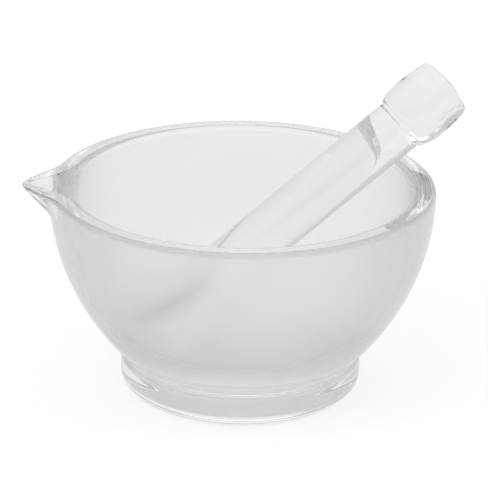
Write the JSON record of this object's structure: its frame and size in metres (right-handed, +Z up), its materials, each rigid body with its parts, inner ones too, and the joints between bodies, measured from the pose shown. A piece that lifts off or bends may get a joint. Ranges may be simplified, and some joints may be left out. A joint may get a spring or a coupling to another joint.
{
  "type": "mortar and pestle",
  "caption": "Thick-walled glass mortar with a pouring spout, a round foot and a frosted bowl, and a loose solid glass pestle with a ground head and a knob.",
  "frame": {"origin": "centre of the foot's flat underside", "axes": "+Z up along the bowl's axis; the spout points along -X; the pestle leans towards +X and a little towards +Y"},
  "size_m": [0.139, 0.12, 0.0978],
  "materials": {
    "mortar_glass": "clear pressed glass, fire-polished outside and finely ground inside the bowl",
    "pestle_glass": "clear solid glass, polished shaft and knob, finely ground head"
  },
  "bodies": {
    "mortar": {"mortar": "mortar_glass"},
    "pestle": {"pestle": "pestle_glass"}
  },
  "joints": [
    {"name": "pestle_lift", "type": "slide", "parent": "mortar", "child": "pestle", "axis": [0, 0, 1], "range_m": [0, 0.06]}
  ]
}
